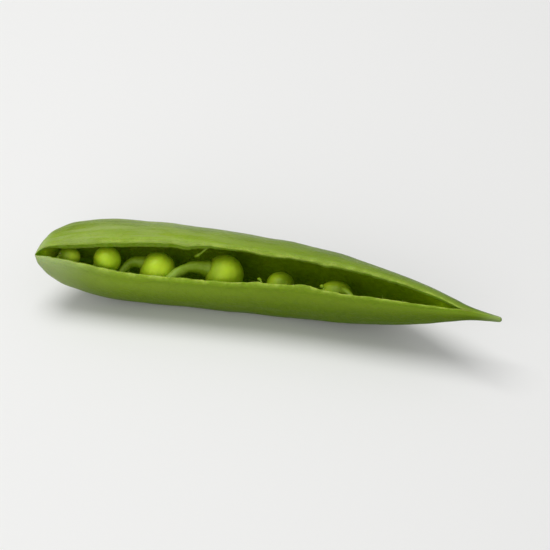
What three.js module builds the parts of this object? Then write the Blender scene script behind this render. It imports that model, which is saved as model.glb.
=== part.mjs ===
// A split sugar snap pea: one fleshy pod, open along its upper seam, and the seeds that hang inside it.
//
// The pod is first built in its own axes, like a small canoe: +X runs from the blunt blossom end to the
// stalk, +Z points out of the split seam and +Y to the upper valve, so the keel is at the bottom.
// It is then rolled about +X until it lies on the flank of its lower valve, as it does on a table.
// Lengths are in millimetres.

import * as THREE from "three";
import { mergeVertices } from "three/addons/utils/BufferGeometryUtils.js";

// ---- driving dimensions --------------------------------------------------------------------------

const POD_LENGTH = 78.8; // from the blossom tip to the end of the stalk
const WALL = 1.6; // flesh of a valve
const KEEL_WALL = 2.0; // flesh over the unsplit seam, where both valves join
const LIP = 1.1; // width of the torn face along each side of the split
const KEEL_RIB = 0.3; // how far the unsplit seam stands proud
const RIB_WIDTH = 0.8; // half-width of that rib
const SHEER = 0.0012; // rise of the split seam towards both ends, per square millimetre
const SHEER_LOW = 36; // distance from the blossom tip where that seam is lowest
const SEAM_LEVEL = 15.5; // height of the split seam there, over the keel's lowest point
const WIDEST = 0.42; // share of the depth at which the section is widest
const KEEL_ROUNDING = 1.6; // superellipse exponent of the section below its widest point; 2 is an ellipse
const LIP_ROUNDING = 1.85; // the same, above it
const PEA_BULGE = 0.1; // how far a pea has pushed each valve out
const BULGE_REACH = 0.8; // how far along the pod that bulge reaches, as a share of the pea's diameter
const HOLLOW_START = 1.6; // distance from the blossom tip where the hollow begins
const HOLLOW_END = 68.6; // distance where it ends
const HOLLOW_ROUND = [3, 9]; // length over which the hollow rounds off at its start and at its end
const SPLIT_ELEVATION = 48; // how far above the horizon the split faces once the pod lies down, in degrees
const PRESSED = 0.9; // how far the soft flank flattens under the pod's weight
const GAP = 0.3; // clearance between neighbouring solids

// Outlines of the pod: smooth curves through [distance from the blossom tip, value].
const HALF_WIDTH = [
  [0, 0.4], [1.1, 2.45], [2.8, 4.15], [6.2, 5.55], [10.7, 6.45], [15.8, 6.75], [23, 6.75],
  [34, 6.45], [43, 6.1], [51, 5.45], [59, 4.4], [65, 3.25], [70, 2.0], [74.5, 0.9], [POD_LENGTH, 0.4],
];
const DEPTH = [
  [0, 1.2], [1.5, 4.2], [4, 7.6], [9, 11.2], [16, 13.8], [26, 15.4],
  [37, 15.7], [48, 14.4], [59, 11.2], [66.5, 7.0], [72, 3.2], [POD_LENGTH, 1.0],
];
const GAPE = [
  [0, 0], [0.6, 0.8], [2.5, 1.9], [7, 3.1], [13, 4.75], [19, 5.6], [26, 5.85], [32, 5.6],
  [38, 5.05], [44, 4.6], [50, 4.4], [56, 3.9], [61, 3.1], [66, 2.05], [70, 0.95], [73.5, 0],
];

// How far the middle of the pod bows towards the upper valve, and how its sections turn about their middles,
// in degrees: the split looks a little further down at the blossom end and further up at the stalk.
const BOW = [
  [0, 0], [2.8, 1.25], [10.7, 2.15], [16, 2.4], [24, 2.85], [38, 3.0], [44, 2.85],
  [55, 2.1], [61, 1.6], [67, 1.1], [72, 0.6], [POD_LENGTH, 0],
];
const TWIST = [
  [0, 6], [12, 5.3], [20, 3.3], [30, 1.2], [40, -1.2], [48, -3.4], [55, -5.2], [63, -7.4], [70, -8.6],
  [POD_LENGTH, -9.5],
];

// The peas: distance along the pod, offset towards the upper valve, depth of the centre under the seam and
// diameter.
// The stalk of each pea, given by its radius, leaves the lower valve at a root: its distance along the pod,
// and how far up the hollow's wall it is, from 1 at the inner edge of the lip to 0.5 where the hollow is
// widest. A lifted stalk meets the pea nearer the upper valve.
const PEAS = [
  { along: 5.15, across: -0.5, under: 3.05, diameter: 3.0, root: 2.9, up_wall: 0.95, lift: 0, stalk: 0.26 },
  { along: 11.5, across: -0.55, under: 3.5, diameter: 4.7, root: 8.2, up_wall: 0.75, lift: 0, stalk: 0.3 },
  { along: 19.9, across: -1.4, under: 4.8, diameter: 6.1, root: 14.9, up_wall: 0.72, lift: 0.75, stalk: 0.5 },
  { along: 31.0, across: -1.05, under: 5.2, diameter: 6.7, root: 23.1, up_wall: 1, lift: 0.25, stalk: 0.65 },
  { along: 40.7, across: -1.7, under: 5.2, diameter: 4.8, root: 44.8, up_wall: 0.85, lift: 0, stalk: 0.32 },
  { along: 50.3, across: -1.25, under: 4.5, diameter: 4.2, root: 54.0, up_wall: 1, lift: 0, stalk: 0.4 },
];
const ROOT_FLARE = 0.7; // how much wider than its middle a seed stalk is at its root, as a share
const TIP_FLARE = 0.25; // the same, where it meets the pea
const ARCH = 0.38; // how far a stalk's arc is drawn out from the pea, as a share of the stalk's length

// Ovules that never swelled into peas, each a bead on a thread: distance of the thread's root along the pod,
// side of the split, +1 upper valve or -1 lower, how far the thread reaches towards the blossom end, and the
// bead's radius.
const OVULES = [
  { along: 28.8, side: 1, reach: 2.7, radius: 0.4 },
  { along: 38.6, side: -1, reach: 1.4, radius: 0.35 },
  { along: 49.2, side: -1, reach: 1.4, radius: 0.4 },
];
const THREAD_RADIUS = 0.22;
const BEAD_AT = 0.84; // share of the way along the thread where the bead's middle is
const BEAD_REACH = 0.17; // half the bead's length, as a share of the thread's

const LIP_FALL = 0.4; // how steeply the inside of a lip faces down into the hollow
const STRAND_SIDES = 8;
const STRAND_STEPS = 10;

const STATIONS = 46; // sections along the pod
const CROWDING = 0.8; // how closely they crowd towards both ends, from 0 for evenly spaced to 1
const SKIN_STEPS = 12; // faces from the keel to a lip
const LINING_STEPS = 8; // faces from a lip to the middle of the hollow's floor

// ---- outlines ------------------------------------------------------------------------------------

// A monotone cubic through [distance, value] points, level beyond both ends.
function smoothCurve(points) {
  const slopes = points.map((point, i) => {
    if (i === 0 || i === points.length - 1) return 0;
    const before = (point[1] - points[i - 1][1]) / (point[0] - points[i - 1][0]);
    const after = (points[i + 1][1] - point[1]) / (points[i + 1][0] - point[0]);
    return before * after <= 0 ? 0 : (2 * before * after) / (before + after);
  });
  slopes[0] = (points[1][1] - points[0][1]) / (points[1][0] - points[0][0]);
  return (x) => {
    const i = THREE.MathUtils.clamp(points.findIndex((point) => point[0] > x) - 1, 0, points.length - 2);
    const [x0, y0] = points[i];
    const [x1, y1] = points[i + 1];
    if (x >= points.at(-1)[0]) return points.at(-1)[1];
    const span = x1 - x0;
    const t = (x - x0) / span;
    const rise = (3 - 2 * t) * t * t;
    return y0 + (y1 - y0) * rise + span * t * (1 - t) * ((1 - t) * slopes[i] - t * slopes[i + 1]);
  };
}

const halfWidth = smoothCurve(HALF_WIDTH);
const depth = smoothCurve(DEPTH);
const gape = smoothCurve(GAPE);
const bowed = smoothCurve(BOW);
const twist = smoothCurve(TWIST);
const seamHeight = (x) => SEAM_LEVEL + SHEER * (x - SHEER_LOW) ** 2;

// How far the valves swell over the peas at this distance.
function swelling(x) {
  const overPea = (pea) => Math.exp(-(((x - pea.along) / (BULGE_REACH * pea.diameter)) ** 2));
  return PEAS.reduce((sum, pea) => sum + PEA_BULGE * overPea(pea), 0);
}

// A point of half a section: `turn` goes from 0 at the bottom, past 0.5 at the widest point, to 1 at the lip.
function halfSection(turn, bottom, middle, wide, top, lipOffset) {
  const low = Math.PI * Math.min(turn, 0.5);
  const high = Math.PI * Math.max(turn - 0.5, 0);
  const power = (value, rounding) => Math.max(value, 0) ** (2 / rounding);
  const out = lipOffset + (wide - lipOffset) * power(Math.cos(high), LIP_ROUNDING);
  const down = (middle - bottom) * power(Math.cos(low), KEEL_ROUNDING);
  const rise = (top - middle) * power(Math.sin(high), LIP_ROUNDING);
  return [out * power(Math.sin(low), KEEL_ROUNDING), middle - down + rise];
}

// A point of the pod at distance x, `out` from its middle plane and `up` from its keel.
function place(x, side, [out, up]) {
  const middle = WIDEST * depth(x);
  const turned = new THREE.Vector3(0, side * out, up - middle);
  turned.applyAxisAngle(new THREE.Vector3(1, 0, 0), THREE.MathUtils.degToRad(twist(x)));
  return turned.add(new THREE.Vector3(x, bowed(x), seamHeight(x) - depth(x) + middle));
}

// A point of the outer skin.
function skin(x, side, turn) {
  const full = depth(x);
  const wide = halfWidth(x) + swelling(x);
  const [out, up] = halfSection(turn, 0, WIDEST * full, wide, full, gape(x) / 2);
  const rib = KEEL_RIB * Math.min(full / SEAM_LEVEL, 1) * Math.exp(-((out / RIB_WIDTH) ** 2));
  return place(x, side, [out, turn < 0.5 ? up - rib : up]);
}

// The inner edge of a lip: its torn face leans inwards, because the valve has swung out about the keel.
function innerLip(x) {
  const full = depth(x);
  const lean = gape(x) / 2 / full;
  const lip = Math.min(LIP, 0.4 * full);
  return [Math.max(gape(x) / 2 - lip * lean, 0), full - lip * Math.sqrt(1 - lean * lean)];
}

// A point of the hollow's wall. Towards both ends the hollow shrinks up to the floor of the split.
function lining(x, side, turn) {
  const start = THREE.MathUtils.clamp((x - HOLLOW_START) / HOLLOW_ROUND[0], 0, 1);
  const end = THREE.MathUtils.clamp((HOLLOW_END - x) / HOLLOW_ROUND[1], 0, 1);
  const share = Math.sqrt(start * end);
  const [lipOffset, top] = innerLip(x);
  const bottom = top - share * Math.max(top - KEEL_WALL, 0);
  const wide = lipOffset + share * Math.max(halfWidth(x) + swelling(x) - WALL - lipOffset, 0);
  return place(x, side, halfSection(turn, bottom, (bottom + top) / 2, wide, top, lipOffset));
}

// ---- solids --------------------------------------------------------------------------------------

// A closed solid through rings of equally many points, with both end rings closed by a fan. The rings run
// clockwise seen from the last one. Faces that have shrunk to a line are left out.
function loft(rings) {
  const corners = [];
  const face = (a, b, c) => {
    if (a.distanceTo(b) > 1e-6 && b.distanceTo(c) > 1e-6 && c.distanceTo(a) > 1e-6) corners.push(a, b, c);
  };
  const middle = (ring) => ring.reduce((sum, p) => sum.add(p), new THREE.Vector3()).divideScalar(ring.length);
  for (let k = 0; k < rings.length - 1; k++)
    rings[k].forEach((a, i) => {
      const next = (i + 1) % rings[k].length;
      face(a, rings[k + 1][i], rings[k + 1][next]);
      face(a, rings[k + 1][next], rings[k][next]);
    });
  const [first, last] = [rings[0], rings.at(-1)];
  first.forEach((a, i) => face(middle(first), a, first[(i + 1) % first.length]));
  last.forEach((a, i) => face(middle(last), last[(i + 1) % last.length], a));
  const solid = mergeVertices(new THREE.BufferGeometry().setFromPoints(corners), 1e-4);
  solid.computeVertexNormals();
  return solid;
}

const tilt = THREE.MathUtils.degToRad(SPLIT_ELEVATION);
const UP = new THREE.Vector3(0, Math.cos(tilt), Math.sin(tilt)); // away from the table, in the pod's axes

// Distances of the sections, closer together towards both ends, where the outlines turn most.
const stations = Array.from({ length: STATIONS + 1 }, (_, i) => {
  const t = i / STATIONS;
  return POD_LENGTH * (t - (CROWDING * Math.sin(2 * Math.PI * t)) / (2 * Math.PI));
});

// One section as a ring: over the skin from lip to lip, then back through the hollow.
// Where the pod isn't split, the whole inner part of the ring lies in the seam.
function podRing(x) {
  const ring = [];
  for (let j = SKIN_STEPS; j >= -SKIN_STEPS; j--) {
    ring.push(skin(x, j < 0 ? -1 : 1, Math.abs(j) / SKIN_STEPS));
  }
  for (let j = -LINING_STEPS; j <= LINING_STEPS; j++) {
    const inside = lining(x, j < 0 ? -1 : 1, Math.abs(j) / LINING_STEPS);
    ring.push(gape(x) > 0 ? inside : skin(x, 1, 1));
  }
  return ring;
}

// Height of the table, in the pod's axes, and a pod flattened down to it.
const podRings = stations.map(podRing);
const TABLE = Math.min(...podRings.flat().map((point) => point.dot(UP))) + PRESSED;
for (const point of podRings.flat()) point.addScaledVector(UP, Math.max(TABLE - point.dot(UP), 0));

// A round strand along a curve, with its radius a function of the share of the way.
function strand(curve, radiusAt) {
  const rings = [];
  for (let k = 0; k <= STRAND_STEPS; k++) {
    const share = k / STRAND_STEPS;
    const along = curve.getTangent(share);
    const across = new THREE.Vector3(0, 0, 1).cross(along).normalize();
    const third = along.clone().cross(across);
    const ring = [];
    for (let i = 0; i < STRAND_SIDES; i++) {
      const angle = (-2 * Math.PI * i) / STRAND_SIDES;
      const spoke = across.clone().multiplyScalar(Math.cos(angle)).addScaledVector(third, Math.sin(angle));
      ring.push(curve.getPoint(share).addScaledVector(spoke, radiusAt(share)));
    }
    rings.push(ring);
  }
  return loft(rings);
}

const centreOf = (pea) => place(pea.along, 1, [pea.across, depth(pea.along) - pea.under]);

// The middle of a strand's end that stands clear of the hollow's wall.
function offWall(x, side, upWall, radius) {
  const inward = new THREE.Vector3(0, -side, -LIP_FALL);
  return lining(x, side, upWall).add(inward.setLength(radius + 1.5 * GAP));
}

// The stalk that holds a pea: an arc from the lower valve that meets the pea squarely, widest at its root.
function seedStalk(pea) {
  const flare = (share) => pea.stalk * (1 + ROOT_FLARE * (1 - share) ** 3 + TIP_FLARE * share ** 3);
  const centre = centreOf(pea);
  const root = offWall(pea.root, -1, pea.up_wall, flare(0));
  const outward = root.clone().sub(centre).normalize();
  outward.add(new THREE.Vector3(0, pea.lift, 0)).normalize();
  const tip = centre.clone().addScaledVector(outward, pea.diameter / 2 + GAP);
  const middle = tip.clone().addScaledVector(outward, ARCH * root.distanceTo(tip));
  return strand(new THREE.QuadraticBezierCurve3(root, middle, tip), flare);
}

// An ovule: a thread from a lip, drooping towards the blossom end, with a bead near its tip.
function ovuleOnThread(ovule) {
  const bead = (share) => ovule.radius * Math.sqrt(Math.max(1 - ((share - BEAD_AT) / BEAD_REACH) ** 2, 0));
  const radiusAt = (share) => Math.max(THREAD_RADIUS * (1 + (1 - share) ** 3), bead(share));
  const root = offWall(ovule.along, ovule.side, 1, radiusAt(0));
  const droop = new THREE.Vector3(-1, -0.2 * ovule.side, -0.25).setLength(ovule.reach);
  const tip = root.clone().add(droop);
  const middle = root.clone().lerp(tip, 0.5).add(new THREE.Vector3(0, 0, 0.1 * ovule.reach));
  return strand(new THREE.QuadraticBezierCurve3(root, middle, tip), radiusAt);
}

// ---- pieces --------------------------------------------------------------------------------------

const podFlesh = new THREE.MeshStandardMaterial({ color: 0x728c2e, roughness: 0.45, metalness: 0 });
const seedCoat = new THREE.MeshStandardMaterial({ color: 0xb0ce1e, roughness: 0.35, metalness: 0 });
const paleFlesh = new THREE.MeshStandardMaterial({ color: 0x84a22c, roughness: 0.5, metalness: 0 });

function piece(name, geometry, material) {
  const mesh = new THREE.Mesh(geometry, material);
  mesh.name = name;
  return mesh;
}

const podAxes = new THREE.Group();
podAxes.rotation.x = Math.PI / 2 - tilt;
podAxes.add(piece("pod", loft(podRings), podFlesh));

PEAS.forEach((pea, i) => {
  const seed = piece(`pea_${i + 1}`, new THREE.SphereGeometry(pea.diameter / 2, 16, 12), seedCoat);
  seed.position.copy(centreOf(pea));
  podAxes.add(seed, piece(`seed_stalk_${i + 1}`, seedStalk(pea), paleFlesh));
});

OVULES.forEach((ovule, i) => podAxes.add(piece(`ovule_${i + 1}`, ovuleOnThread(ovule), paleFlesh)));

// The part's origin is on the table, under the middle of the pod's box.
const group = new THREE.Group();
group.add(podAxes);
const box = new THREE.Box3().setFromObject(podAxes, true);
podAxes.position.set(-(box.min.x + box.max.x) / 2, -(box.min.y + box.max.y) / 2, -box.min.z);

export default group;
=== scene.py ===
# %% [markdown]
# # A split sugar snap pea
# A sugar snap pod is a fleshy leaf, folded along its keel and closed along a seam. Pressed open,
# the seam tears and the peas show, each on a short stalk that fed it. This lesson grows that pod
# round a fixed frame of solids, which are at the real size and say where each piece goes.

import math

import bpy
import numpy as np
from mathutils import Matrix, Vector
from mathutils.bvhtree import BVHTree


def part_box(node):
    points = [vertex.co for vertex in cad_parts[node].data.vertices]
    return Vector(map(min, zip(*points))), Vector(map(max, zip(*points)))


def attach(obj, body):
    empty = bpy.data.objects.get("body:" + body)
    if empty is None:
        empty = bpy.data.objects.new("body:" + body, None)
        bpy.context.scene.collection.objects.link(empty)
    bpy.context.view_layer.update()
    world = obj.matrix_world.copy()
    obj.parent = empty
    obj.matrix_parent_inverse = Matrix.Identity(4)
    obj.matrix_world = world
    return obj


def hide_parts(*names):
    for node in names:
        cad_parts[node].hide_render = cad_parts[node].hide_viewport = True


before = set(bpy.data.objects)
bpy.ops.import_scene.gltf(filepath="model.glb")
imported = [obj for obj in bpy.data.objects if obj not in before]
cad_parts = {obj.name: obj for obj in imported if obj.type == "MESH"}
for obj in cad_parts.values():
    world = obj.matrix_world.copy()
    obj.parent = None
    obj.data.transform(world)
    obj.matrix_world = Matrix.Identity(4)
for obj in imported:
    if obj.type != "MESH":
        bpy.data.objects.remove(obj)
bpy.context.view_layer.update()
print("frame pieces:", sorted(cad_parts))

# %% [markdown]
# ## Sizes
# A pod is easiest to think of in its own axes: how far along from the blossom tip, how far out from
# the plane between the two valves, and how high over the keel. These are one pod's own measures, in
# millimetres: where its seam runs and where its hollow lies. Its length comes from the frame.

# %% Sizes of the pod, in millimetres
MM = 0.001
pod_low, pod_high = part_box("pod")
POD_LENGTH = (pod_high.x - pod_low.x) / MM
SPLIT_ELEVATION = math.radians(48)  # how far above the horizon the split faces
SHEER_LOW = 36.0  # how far along the seam lies lowest
SEAM_LEVEL = 15.5  # its height there
SHEER = 0.0012  # its rise towards both ends, per square millimetre
WIDEST = 0.42  # share of the depth at which a section is widest
KEEL_ROUNDING = 1.6  # superellipse exponent below the widest point
LIP_ROUNDING = 1.85  # the same, above it
RIB_WIDTH = 0.8  # how far the rib along the keel spreads to each side
VALVE_GIRTH = 22.0  # skin from the keel to a lip
HOLLOW_START, HOLLOW_END = 1.6, 68.6
HOLLOW_OPENS, HOLLOW_CLOSES = 3.0, 9.0  # lengths over which it widens and narrows
print(f"the pod is {POD_LENGTH:.1f} mm long")

# %% [markdown]
# A few outlines say how a section changes along the pod: half its width, its depth from seam to
# keel, the gape of the split, the sideways bow and the twist. Each is a list of distances from the
# blossom tip, with the value there.

# %% Outlines of the pod
HALF_WIDTH = [(0, 0.4), (1.1, 2.45), (2.8, 4.15), (6.2, 5.55), (10.7, 6.45), (15.8, 6.75),
              (23, 6.75), (34, 6.45), (43, 6.1), (51, 5.45), (59, 4.4), (65, 3.25), (70, 2.0),
              (74.5, 0.9), (POD_LENGTH, 0.4)]
DEPTH = [(0, 1.2), (1.5, 4.2), (4, 7.6), (9, 11.2), (16, 13.8), (26, 15.4), (37, 15.7), (48, 14.4),
         (59, 11.2), (66.5, 7.0), (72, 3.2), (POD_LENGTH, 1.0)]
GAPE = [(0, 0), (0.6, 0.8), (2.5, 1.9), (7, 3.1), (13, 4.75), (19, 5.6), (26, 5.85), (32, 5.6),
        (38, 5.05), (44, 4.6), (50, 4.4), (56, 3.9), (61, 3.1), (66, 2.05), (70, 0.95), (73.5, 0),
        (POD_LENGTH, 0)]
BOW = [(0, 0), (2.8, 1.25), (10.7, 2.15), (16, 2.4), (24, 2.85), (38, 3.0), (44, 2.85), (55, 2.1),
       (61, 1.6), (67, 1.1), (72, 0.6), (POD_LENGTH, 0)]
TWIST = [(0, 6), (12, 5.3), (20, 3.3), (30, 1.2), (40, -1.2), (48, -3.4), (55, -5.2), (63, -7.4),
         (70, -8.6), (POD_LENGTH, -9.5)]  # in degrees
print("widest:", max(value for _, value in HALF_WIDTH) * 2, "mm")

# %% [markdown]
# ## Wires that do sums
# Shapes and finishes here follow formulas. A node tree can hold a formula, but placing every Math
# node by hand hides it. This small class lets Python's own signs build the nodes, so that a formula
# reads as one.

# %% Wires
class Wire:
    """A value that flows between nodes. A sum with wires in it adds the Math nodes that do it."""

    def __init__(self, socket):
        self.socket = socket
        self.tree = socket.id_data

    def __add__(self, other): return sums("ADD", self, other)
    def __radd__(self, other): return sums("ADD", other, self)
    def __sub__(self, other): return sums("SUBTRACT", self, other)
    def __rsub__(self, other): return sums("SUBTRACT", other, self)
    def __mul__(self, other): return sums("MULTIPLY", self, other)
    def __rmul__(self, other): return sums("MULTIPLY", other, self)
    def __truediv__(self, other): return sums("DIVIDE", self, other)
    def __pow__(self, other): return sums("POWER", self, other)


def plug(value, slot):
    """Links a wire or a socket to a slot, or sets the slot to a plain value."""
    if isinstance(value, Wire):
        value = value.socket
    if isinstance(value, bpy.types.NodeSocket):
        slot.id_data.links.new(value, slot)
    else:
        slot.default_value = value


def node(tree, kind, inputs, **options):
    """Adds a node, sets its options, then fills its inputs, given by name or by number."""
    made = tree.nodes.new(kind)
    for option, value in options.items():
        setattr(made, option, value)
    for label, value in inputs.items():
        plug(value, made.inputs[label])
    return made


def sums(operation, *values, clamp=False):
    tree = next(value.tree for value in values if isinstance(value, Wire))
    made = node(tree, "ShaderNodeMath", dict(enumerate(values)),
                operation=operation, use_clamp=clamp)
    return Wire(made.outputs[0])


print("wires ready")

# %% [markdown]
# The same few moves come back in every formula: hold a value between 0 and 1, fade between two
# values, mark a place with a bell, and read a cloudy noise.

# %% Small formulas
def clamped(value):
    return sums("ADD", value, 0.0, clamp=True)


def at_least(value, floor):
    return sums("MAXIMUM", value, floor)


def blended(first, second, share):
    return first + (second - first) * share


def smooth_step(value, low, high):
    made = node(value.tree, "ShaderNodeMapRange", {0: value, 1: low, 2: high},
                interpolation_type="SMOOTHSTEP")
    return Wire(made.outputs[0])


def bell(value, middle, width):
    """1 where the value is at the middle, fading to nothing over a few widths."""
    return sums("EXPONENT", ((value - middle) / width) ** 2 * -1.0)


def axes_of(tree, vector):
    split = node(tree, "ShaderNodeSeparateXYZ", {0: vector})
    return [Wire(output) for output in split.outputs]


def joined(tree, x, y, z):
    return Wire(node(tree, "ShaderNodeCombineXYZ", {0: x, 1: y, 2: z}).outputs[0])


def vector_sum(tree, operation, first, second):
    slot = 3 if operation == "SCALE" else 1
    made = node(tree, "ShaderNodeVectorMath", {0: first, slot: second}, operation=operation)
    return Wire(made.outputs["Value" if operation == "DOT_PRODUCT" else "Vector"])


def noise(tree, vector, scale, detail=3.0, roughness=0.5, distortion=0.0):
    """Cloudy noise from 0 to 1. The scale counts clouds per unit of the vector."""
    made = node(tree, "ShaderNodeTexNoise", {
        "Vector": vector, "Scale": scale, "Detail": detail, "Roughness": roughness,
        "Distortion": distortion,
    })
    return Wire(made.outputs[0])


print("formulas ready")

# %% [markdown]
# ## Growing a mesh
# A Geometry Nodes tree is a recipe: the same one, with other numbers, gives another pea or another
# stalk. Each tree takes its sizes through named inputs. Running it on an empty mesh and keeping the
# result leaves a plain mesh, which any program can read.

# %% Recipes
SOCKET_KINDS = {Vector: "NodeSocketVector", float: "NodeSocketFloat", int: "NodeSocketInt"}


def recipe(name, sizes):
    """Starts a tree with a named input for each size. Returns it with the wires of its inputs."""
    tree = bpy.data.node_groups.new(name, "GeometryNodeTree")
    tree.interface.new_socket("Geometry", in_out="OUTPUT", socket_type="NodeSocketGeometry")
    for label, value in sizes.items():
        tree.interface.new_socket(label, in_out="INPUT", socket_type=SOCKET_KINDS[type(value)])
    entry = tree.nodes.new("NodeGroupInput")
    return tree, {label: Wire(entry.outputs[label]) for label in sizes}


def changed(tree, geometry, step, inputs=None, **options):
    """Adds a geometry node that changes a geometry, and returns the changed one."""
    inputs = {"Geometry": geometry, **(inputs or {})}
    return node(tree, "GeometryNode" + step, inputs, **options).outputs[0]


def finish_recipe(tree, geometry, material):
    """Ends a tree that is in millimetres: real copies, metres, smooth faces and a material."""
    geometry = changed(tree, geometry, "RealizeInstances")
    geometry = changed(tree, geometry, "Transform", {"Scale": (MM, MM, MM)})
    geometry = changed(tree, geometry, "SetShadeSmooth")
    geometry = changed(tree, geometry, "SetMaterial", {"Material": material})
    tree.links.new(geometry, tree.nodes.new("NodeGroupOutput").inputs[0])


print("recipes ready")

# %% What grows from a recipe
def grow(name, tree, sizes):
    """Runs a recipe on an empty mesh with these sizes and keeps the result as a plain mesh."""
    piece = bpy.data.objects.new(name, bpy.data.meshes.new(name))
    bpy.context.scene.collection.objects.link(piece)
    modifier = piece.modifiers.new("Grow", "NODES")
    modifier.node_group = tree
    for socket in tree.interface.items_tree:
        if socket.in_out == "INPUT":
            value = sizes[socket.name]
            modifier[socket.identifier] = list(value) if isinstance(value, Vector) else value
    depsgraph = bpy.context.evaluated_depsgraph_get()
    mesh = bpy.data.meshes.new_from_object(piece.evaluated_get(depsgraph), depsgraph=depsgraph)
    piece.modifiers.remove(modifier)
    piece.data = mesh
    mesh.name = name
    print(f"{name}: {len(mesh.vertices)} points, {len(mesh.polygons)} faces")
    return piece


def grow_all(new_recipe, sizes_of):
    """Grows a piece for each name and its sizes, all from one recipe."""
    tree = new_recipe(next(iter(sizes_of.values())))
    return {name: grow(name, tree, sizes) for name, sizes in sizes_of.items()}


print("ready to grow")

# %% [markdown]
# Inside a recipe, a mesh is moved by a formula, pushed along its own normals, or marked with values
# that the materials read later.

# %% Moves on a mesh inside a recipe
def position(tree):
    return Wire(node(tree, "GeometryNodeInputPosition", {}).outputs[0])


def moved(tree, geometry, place):
    return changed(tree, geometry, "SetPosition", {"Position": place})


def pushed(tree, geometry, height):
    """Moves every point along its normal."""
    normal = node(tree, "GeometryNodeInputNormal", {}).outputs[0]
    offset = vector_sum(tree, "SCALE", normal, height)
    return changed(tree, geometry, "SetPosition", {"Offset": offset})


def noted(tree, geometry, notes):
    """Stores named values on the points."""
    for name, value in notes.items():
        kind = "FLOAT_VECTOR" if value.socket.type == "VECTOR" else "FLOAT"
        note = {"Name": name, "Value": value}
        geometry = changed(tree, geometry, "StoreNamedAttribute", note, data_type=kind)
    return geometry


def recalled(tree, name, kind="FLOAT"):
    note = node(tree, "GeometryNodeInputNamedAttribute", {"Name": name}, data_type=kind)
    return Wire(note.outputs[0])


def strand(tree, start, middle, end, steps, sides, radius):
    """A round strand along an arc. Its radius is a formula of the share of the way along it."""
    arc = node(tree, "GeometryNodeCurveQuadraticBezier",
               {"Resolution": steps, "Start": start, "Middle": middle, "End": end}).outputs[0]
    share = Wire(node(tree, "GeometryNodeSplineParameter", {}).outputs["Factor"])
    arc = noted(tree, arc, {"way": share})
    circle = {"Resolution": sides, "Radius": 1.0}
    ring = node(tree, "GeometryNodeCurvePrimitiveCircle", circle).outputs[0]
    return node(tree, "GeometryNodeCurveToMesh", {
        "Curve": arc, "Profile Curve": ring, "Scale": radius(share), "Fill Caps": True,
    }).outputs[0]


print("moves ready")

# %% [markdown]
# ## Colour
# The greens of one plant differ more in yellowness than in lightness. The skin is a cool green
# under a thin bloom of wax, torn flesh is yellower, and a pea is the yellowest of all, because
# light passes right through it.

# %% Paint box
def paint(*levels):
    """A colour given as screen values of red, green and blue, made linear as shaders use it."""
    shares = [level / 255 for level in levels]
    return tuple(((share + 0.055) / 1.055) ** 2.4 if share > 0.04 else share / 12.92
                 for share in shares) + (1.0,)


SKIN_GREEN = paint(100, 125, 22)
SKIN_LIGHT = paint(128, 153, 36)
SKIN_VIVID = paint(118, 148, 0)
# a deep green, for random flecks and for painted shade at the keel and towards the stalk
SKIN_DEEP_AND_SHADE = paint(72, 100, 0)
RIM_GREEN = paint(156, 184, 58)
# a pale line at a lip's edge: partly the torn edge, partly a painted highlight
PALE_EDGE_AND_HIGHLIGHT = paint(194, 214, 100)
# a grey for wax bloom, also used for painted sheen
WAX_AND_SHEEN_GREY = paint(154, 174, 94)
# a pale tint for the tips, also used for painted highlights and sheen
PALE_TIP_AND_HIGHLIGHT = paint(190, 206, 150)
TORN_FLESH = paint(128, 162, 20)
TORN_PALE = paint(196, 214, 130)
# the lining's colours where painted light and painted shade fall in the hollow
LINING_IN_PAINTED_LIGHT = paint(192, 220, 50)
LINING_IN_PAINTED_SHADE = paint(140, 172, 10)
PEA_GREEN = paint(204, 232, 44)
PEA_DEEP = paint(150, 184, 8)
# a dull pea green, also used for painted shade on peas and stalks
PEA_DULL_AND_SHADE = paint(120, 148, 12)
HILUM_PALE = paint(200, 214, 130)
STALK_GREEN = paint(140, 170, 56)
print("paint box ready")

# %% [markdown]
# ## Shader helpers
# A material is a tree too, so the wires serve here as well. Colour is built up in thin layers, as a
# painter does. An effect that materials share is a group, with its coordinates as an input.

# %% Shader helpers
def new_material(name):
    material = bpy.data.materials.new(name)
    material.use_nodes = True
    tree = material.node_tree
    tree.nodes.clear()
    surface = tree.nodes.new("ShaderNodeBsdfPrincipled")
    ending = tree.nodes.new("ShaderNodeOutputMaterial")
    tree.links.new(surface.outputs[0], ending.inputs[0])
    return material, tree, surface


def attribute(tree, name, output="Fac"):
    return Wire(node(tree, "ShaderNodeAttribute", {}, attribute_name=name).outputs[output])


def tinted(tree, share, first, second):
    made = node(tree, "ShaderNodeMix", {0: share, 6: first, 7: second}, data_type="RGBA")
    return Wire(made.outputs[2])


def layered(tree, colour, layers):
    """Lays colours over a first one in turn, each by its share from 0 to 1."""
    for share, layer in layers:
        colour = tinted(tree, share, colour, layer)
    return colour


def bumped(tree, surface, height):
    """Bends the light by a height in millimetres."""
    bump = node(tree, "ShaderNodeBump", {"Height": height, "Distance": MM, "Strength": 1.0})
    tree.links.new(bump.outputs[0], surface.inputs["Normal"])


def translucent(surface, weight, reach):
    """Lets light seep through the flesh, green light furthest. The reach is in metres."""
    surface.inputs["Subsurface Weight"].default_value = weight
    surface.inputs["Subsurface Radius"].default_value = (0.6, 1.0, 0.15)
    surface.inputs["Subsurface Scale"].default_value = reach


print("shader helpers ready")

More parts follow.
